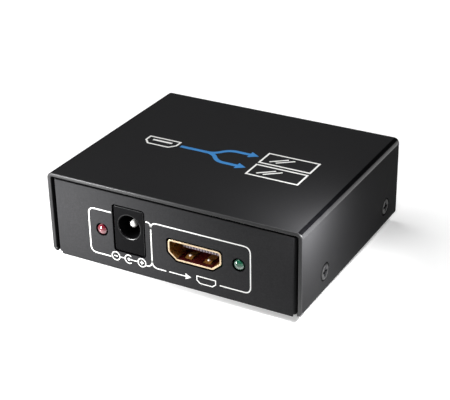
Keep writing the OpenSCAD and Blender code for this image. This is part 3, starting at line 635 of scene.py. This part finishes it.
# Panel printing
# One pass of white screen ink on each end panel: a thin rounded frame round every group of a
# socket and its lamp, with a plain sign in a break of the frame's lower line.
white_ink = surface_finish(
    "white_ink", "#e2e2df", "#ececea", grain=0.25, rough=(0.45, 0.6), relief=0.004,
)
ink_t = 0.015
line_w = 0.32
sign_w = 0.28
frame_low = 4.8
frame_high = 17.4
frame_r = 1.8
frame_left = -12.1
frame_right = 15.35
sign_start = -7.6
sign_end = 6.46
sign_space = 0.5
sign_z = 4.85
way_in_arrow = (-7.2, -1.0)
way_in_socket = 3.2
way_out_socket = -4.4
way_out_arrow = (-1.2, 3.6)
way_out_digit = 5.4
digit_h = 2.1


def rounded(corners, radius, steps=8):
    """An open path whose inner corners are eased over the given length."""
    path = [corners[0]]
    for before, corner, after in zip(corners, corners[1:], corners[2:]):
        corner = Vector(corner)
        start = corner + (Vector(before) - corner).normalized() * radius
        end = corner + (Vector(after) - corner).normalized() * radius
        for i in range(steps + 1):
            t = i / steps
            bent = start * (1 - t) ** 2 + corner * (2 * t * (1 - t)) + end * t ** 2
            path.append((bent.x, bent.y))
    path.append(corners[-1])
    return path


def line_sides(path, width, closed=False):
    """Pairs of points on the left and right of a path, half a line's width away."""
    points = [Vector(p) for p in path]
    count = len(points)
    sides = []
    for i, point in enumerate(points):
        before = points[(i - 1) % count] if closed or i > 0 else None
        after = points[(i + 1) % count] if closed or i < count - 1 else None
        way_in = (point - before).normalized() if before else (after - point).normalized()
        way_out = (after - point).normalized() if after else way_in
        square_in = Vector((-way_in.y, way_in.x))
        square_out = Vector((-way_out.y, way_out.x))
        side = (square_in + square_out) / (1 + square_in.dot(square_out)) * (width / 2)
        sides.append((point + side, point - side))
    return sides


def ink_line(shape, place, path, width, closed=False):
    """Lays a line of ink of even width along a path."""
    rings = []
    for left, right in line_sides(path, width, closed):
        corners = ((left, 0), (right, 0), (right, ink_t), (left, ink_t))
        rings.append([shape.verts.new(place(c.x, c.y, lift)) for c, lift in corners])
    pairs = list(zip(rings, rings[1:]))
    if closed:
        pairs.append((rings[-1], rings[0]))
    else:
        shape.faces.new(rings[0])
        shape.faces.new(rings[-1][::-1])
    for here, there in pairs:
        for k in range(4):
            shape.faces.new((here[k], there[k], there[(k + 1) % 4], here[(k + 1) % 4]))


def ink_patch(shape, place, outline):
    """Fills a simple outline with ink."""
    low = [shape.verts.new(place(u, v, 0)) for u, v in outline]
    high = [shape.verts.new(place(u, v, ink_t)) for u, v in outline]
    shape.faces.new(low)
    shape.faces.new(high)
    for i in range(len(outline)):
        j = (i + 1) % len(outline)
        shape.faces.new((low[i], low[j], high[j], high[i]))


def printed(name, shape, ink):
    """Turns laid ink into a piece of the unit."""
    bmesh.ops.recalc_face_normals(shape, faces=shape.faces)
    piece = into_scene(name, shape, ink)
    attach(piece, "unit")
    return piece


def on_front(u, v, lift):
    """A place on the front panel, seen from the front, in millimetres."""
    return Vector((u * mm, tray_low[1] - lift * mm, v * mm))


def on_rear(u, v, lift):
    """A place on the rear panel, seen from behind, in millimetres."""
    return Vector((-u * mm, tray_high[1] + lift * mm, v * mm))


def middle_across(node):
    """Middle of a node from left to right, seen from the front, in millimetres."""
    low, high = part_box(node)
    return (low[0] + high[0]) / 2 / mm


def mouth_outline(u, v, half_w, half_h, floor_half_w, slant_v):
    """The outline of a video socket's mouth, with its slanted lower corners."""
    outline = [(-half_w, half_h), (-half_w, slant_v), (-floor_half_w, -half_h),
               (floor_half_w, -half_h), (half_w, slant_v), (half_w, half_h)]
    return [(u + a, v + b) for a, b in outline]


def sign_socket(shape, place, u, v):
    """The outline of a socket's mouth, as a sign."""
    outline = mouth_outline(u, v, half_w=2.6, half_h=0.95, floor_half_w=1.7, slant_v=-0.2)
    ink_line(shape, place, outline, sign_w, closed=True)


def sign_arrow(shape, place, start, end, v):
    """A plain arrow from left to right."""
    tip_l = 1.6
    tip_half = 0.85
    ink_line(shape, place, [(start, v), (end - tip_l, v)], sign_w)
    ink_patch(shape, place, [(end - tip_l, v - tip_half), (end, v), (end - tip_l, v + tip_half)])


def digit_path(digit, u, v):
    """The path of a plain 1 or 2, drawn with one stroke."""
    half = digit_h / 2
    if digit == 1:
        flag_w = 0.45
        flag_v = half * 0.55
        path = [(-flag_w, flag_v), (0, half), (0, -half)]
    else:
        bow_r = 0.58
        bow_start = 170
        bow_end = -30
        foot_over = 0.1
        bow = arc((0, half - bow_r), bow_r, bow_start, bow_end, steps=12)
        path = bow + [(-bow_r, -half), (bow_r + foot_over, -half)]
    return [(u + a, v + b) for a, b in path]


def socket_group(shape, place, u, digit=None):
    """The frame round a video socket and its lamp, with the sign for a way in or out."""
    left = u + frame_left
    right = u + frame_right
    corners = [
        (u + sign_end + sign_space, frame_low), (right, frame_low), (right, frame_high),
        (left, frame_high), (left, frame_low), (u + sign_start - sign_space, frame_low),
    ]
    ink_line(shape, place, rounded(corners, frame_r), line_w)
    if digit is None:
        sign_arrow(shape, place, u + way_in_arrow[0], u + way_in_arrow[1], sign_z)
        sign_socket(shape, place, u + way_in_socket, sign_z)
    else:
        sign_socket(shape, place, u + way_out_socket, sign_z)
        sign_arrow(shape, place, u + way_out_arrow[0], u + way_out_arrow[1], sign_z)
        ink_line(shape, place, digit_path(digit, u + way_out_digit, sign_z), sign_w)


front_ink = bmesh.new()
input_u = middle_across("input_shell")
socket_group(front_ink, on_front, input_u)

jack_low, jack_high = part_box("dc_jack_housing")
window_margin = 0.7
power_left = -23.6
power_right = input_u + frame_left
power_break_left = -17.6
power_break_right = -7.3
corner_run = frame_r + 0.1
join_v = frame_high - 0.15
join_r = 1.0
ink_line(front_ink, on_front, rounded([
    (jack_low[0] / mm - window_margin, frame_high), (power_left, frame_high),
    (power_left, frame_low), (power_break_left, frame_low)], frame_r), line_w)
ink_line(front_ink, on_front, rounded([
    (power_break_right, frame_low), (power_right, frame_low),
    (power_right, frame_low + corner_run)], frame_r), line_w)
ink_line(front_ink, on_front, rounded([
    (jack_high[0] / mm + window_margin, join_v), (power_right, join_v),
    (power_right, frame_high - corner_run)], join_r), line_w)

polarity_left = -16.15
polarity_right = -8.5
polarity_z = 5.3
polarity_r = 1.15
polarity_w = 0.26
polarity_bar = 0.55
# A closed ring ends one step short of a full turn
last_spoke = 345
sleeve_u = (polarity_left + polarity_right) / 2
sleeve_gap = 50
pin_r = 0.4
for u in (polarity_left, polarity_right):
    ring = arc((u, polarity_z), polarity_r, 0, last_spoke)
    bar = [(u - polarity_bar, polarity_z), (u + polarity_bar, polarity_z)]
    ink_line(front_ink, on_front, ring, polarity_w, closed=True)
    ink_line(front_ink, on_front, bar, polarity_w)
for end in (-1, 1):
    ink_line(front_ink, on_front, [
        (polarity_right, polarity_z + end * polarity_bar),
        (polarity_right, polarity_z + end * polarity_w / 2)], polarity_w)
sleeve = arc((sleeve_u, polarity_z), polarity_r, sleeve_gap, 360 - sleeve_gap)
ink_line(front_ink, on_front, sleeve, polarity_w)
ink_patch(front_ink, on_front, arc((sleeve_u, polarity_z), pin_r, 0, last_spoke))
ink_line(front_ink, on_front, [
    (polarity_left + polarity_r, polarity_z), (sleeve_u - polarity_r, polarity_z)], polarity_w)
ink_line(front_ink, on_front, [
    (sleeve_u + pin_r, polarity_z), (polarity_right - polarity_r, polarity_z)], polarity_w)
printed("front_panel_print", front_ink, white_ink)

rear_ink = bmesh.new()
for digit in (1, 2):
    socket_group(rear_ink, on_rear, -middle_across("output_%d_shell" % digit), digit)
printed("rear_panel_print", rear_ink, white_ink)


# Top printing
# Two passes of screen ink on the cover: in blue a stem that forks in two, and in white a socket's
# mouth at its foot and two plain screens at its tips.
def on_top(u, v, lift):
    """A place on the top, seen from above with the front below, in millimetres."""
    return Vector((u * mm, v * mm, cover_high[2] + lift * mm))


blue_ink = surface_finish(
    "blue_ink", "#2674b4", "#3082c4", grain=0.25, rough=(0.45, 0.6), relief=0.004,
)
fork_v = -1.0
fork_w = 1.15
fork_start = -13.2
fork_split = -6.5
fork_tip = 5.2
branch_run = 3.0
branch_rise = 3.6
branch_ease = 2.0
fork_head_l = 2.6
fork_head_half = 1.6
branch = rounded([
    (fork_start, 0), (fork_split + branch_run, 0), (fork_split + 2 * branch_run, branch_rise),
    (fork_tip, branch_rise)], branch_ease)
branch_sides = line_sides(branch, fork_w)
outer_side = [(left.x, left.y) for left, right in branch_sides]
inner_side = [(right.x, right.y) for left, right in branch_sides if right.y > 0]
fork_head = [(fork_tip, branch_rise + fork_head_half), (fork_tip + fork_head_l, branch_rise),
             (fork_tip, branch_rise - fork_head_half)]
half_fork = outer_side + fork_head + inner_side[::-1]
whole_fork = half_fork + [(u, -v) for u, v in half_fork[::-1]]
blue_print = bmesh.new()
ink_patch(blue_print, on_top, [(u, fork_v + v) for u, v in whole_fork])
printed("top_print_blue", blue_print, blue_ink)

white_print = bmesh.new()
outline_w = 0.5
socket_u = -19.0
socket_outline = mouth_outline(socket_u, fork_v, half_w=4.6, half_h=2.0, floor_half_w=3.1, slant_v=-0.3)
ink_line(white_print, on_top, socket_outline, outline_w, closed=True)
tongue_v = fork_v + 0.45
tongue_half_w = 2.9
tongue_half_h = 0.35
ink_patch(white_print, on_top, [
    (socket_u + a * tongue_half_w, tongue_v + b * tongue_half_h)
    for a, b in ((-1, -1), (1, -1), (1, 1), (-1, 1))])
screen_left = 9.4
screen_right = 23.6
screen_half_h = 2.9
gleam_rise = 1.5
gleam_lean = 2.0
gleam_places = (4.2, 6.0)
for way in (-1, 1):
    v = fork_v + way * branch_rise
    corners = ((screen_left, v - screen_half_h), (screen_right, v - screen_half_h),
               (screen_right, v + screen_half_h), (screen_left, v + screen_half_h))
    ink_line(white_print, on_top, corners, outline_w, closed=True)
    for from_left in gleam_places:
        ink_line(white_print, on_top, [
            (screen_left + from_left - gleam_lean, v - gleam_rise),
            (screen_left + from_left + gleam_lean, v + gleam_rise)], outline_w)
printed("top_print_white", white_print, white_ink)


# Floor
# A wide pale sheet of card under the unit, which runs on far beyond the picture. It glows a little
# to the eye, but throws only a dim light back on the unit.
def grey(level):
    """A plain linear grey."""
    return (level, level, level, 1.0)


card = surface_finish(
    "card", "#f4f4f4", "#f7f7f7", grain=3, rough=(0.8, 0.9), relief=0.0, Specular_IOR_Level=0.0,
)
card_seen = 0.92
card_thrown = 0.25
card_glow = 0.3
card_nodes = card.node_tree.nodes
card_links = card.node_tree.links
card_shader = card_nodes["Principled BSDF"]
ray = card_nodes.new("ShaderNodeLightPath")
card_tone = card_nodes.new("ShaderNodeMix")
card_tone.data_type = "RGBA"
card_tone.inputs["A"].default_value = grey(card_seen)
card_tone.inputs["B"].default_value = grey(card_thrown)
card_links.new(ray.outputs["Is Diffuse Ray"], card_tone.inputs["Factor"])
card_links.new(card_tone.outputs["Result"], card_shader.inputs["Base Color"])
glow = card_nodes.new("ShaderNodeMapRange")
glow.inputs["To Min"].default_value = card_glow
glow.inputs["To Max"].default_value = 0.0
card_links.new(ray.outputs["Is Diffuse Ray"], glow.inputs["Value"])
card_links.new(glow.outputs["Result"], card_shader.inputs["Emission Strength"])
card_shader.inputs["Emission Color"].default_value = grey(1.0)
floor_half = 3.0
floor_shape = bmesh.new()
bmesh.ops.create_grid(floor_shape, x_segments=8, y_segments=8, size=floor_half)
floor = into_scene("floor", floor_shape, card)


# Studio light
# Two small soft spots close to the unit at its front left and right, and one broad light high above;
# the far walls of the studio are white and their ceiling is dim.
def soft_spot(name, place, aim, cone, size, power):
    """A soft-edged spot at a place, turned to an aim, both in millimetres."""
    data = bpy.data.lights.new(name, "SPOT")
    data.energy = power
    data.spot_size = math.radians(cone)
    data.spot_blend = 1.0
    data.shadow_soft_size = size * mm
    light = bpy.data.objects.new(name, data)
    light.location = Vector(place) * mm
    light.rotation_euler = (Vector(aim) - Vector(place)).to_track_quat("-Z", "Y").to_euler()
    light.visible_camera = False
    bpy.context.scene.collection.objects.link(light)


soft_spot("front_left_spot", place=(-52, -78, 24), aim=(-25, -29, 14), cone=80, size=15, power=0.6)
soft_spot("right_spot", place=(50, -29, 32), aim=(35, -22, 18), cone=110, size=5, power=0.22)

high_way = Vector((0.42, 0.12, -0.9))
high_data = bpy.data.lights.new("high_light", "SUN")
high_data.energy = 2.45
high_data.angle = math.radians(50)
high_light = bpy.data.objects.new("high_light", high_data)
high_light.rotation_euler = high_way.to_track_quat("-Z", "Y").to_euler()
bpy.context.scene.collection.objects.link(high_light)

wall_top = math.radians(9.5)
ceiling_start = math.radians(16)
ceiling_tone = 0.1
world = bpy.data.worlds.new("studio")
bpy.context.scene.world = world
world.use_nodes = True
wall_nodes = world.node_tree.nodes
wall_links = world.node_tree.links
compass = wall_nodes.new("ShaderNodeTexCoord")
height = wall_nodes.new("ShaderNodeSeparateXYZ")
wall_links.new(compass.outputs["Generated"], height.inputs["Vector"])
wall_tones = wall_nodes.new("ShaderNodeValToRGB")
wall_low, wall_high = wall_tones.color_ramp.elements
wall_low.position = math.sin(wall_top)
wall_low.color = grey(1.0)
wall_high.position = math.sin(ceiling_start)
wall_high.color = grey(ceiling_tone)
wall_links.new(height.outputs["Z"], wall_tones.inputs["Fac"])
wall_links.new(wall_tones.outputs["Color"], wall_nodes["Background"].inputs["Color"])

# Camera
# It stands at the photograph's angle, ahead and to the right of the unit, with a long lens. The slides
# set the unit's place in the picture.
azimuth = math.radians(29.2757)
elevation = math.radians(27.3162)
roll = math.radians(-1.0542)
distance = 328.125 * mm
slide_right = -0.7415 * mm
slide_up = -1.2914 * mm
aim_height = 12.85 * mm
right = Vector((math.cos(azimuth), math.sin(azimuth), 0))
up = Vector((
    -math.sin(azimuth) * math.sin(elevation), math.cos(azimuth) * math.sin(elevation), math.cos(elevation)))
back = right.cross(up)
rolled_right = right * math.cos(roll) + up * math.sin(roll)
rolled_up = up * math.cos(roll) - right * math.sin(roll)
camera_data = bpy.data.cameras.new("camera")
camera_data.sensor_width = 36
camera_data.lens = 100.711
camera_data.clip_start = 10 * mm
camera = bpy.data.objects.new("camera", camera_data)
bpy.context.scene.collection.objects.link(camera)
aim = Vector((0, 0, aim_height))
stand = aim + rolled_right * slide_right + rolled_up * slide_up + back * distance
turn = Matrix((rolled_right, rolled_up, back)).transposed().to_4x4()
camera.matrix_world = Matrix.Translation(stand) @ turn
bpy.context.scene.camera = camera
bpy.context.scene.view_settings.view_transform = "Standard"
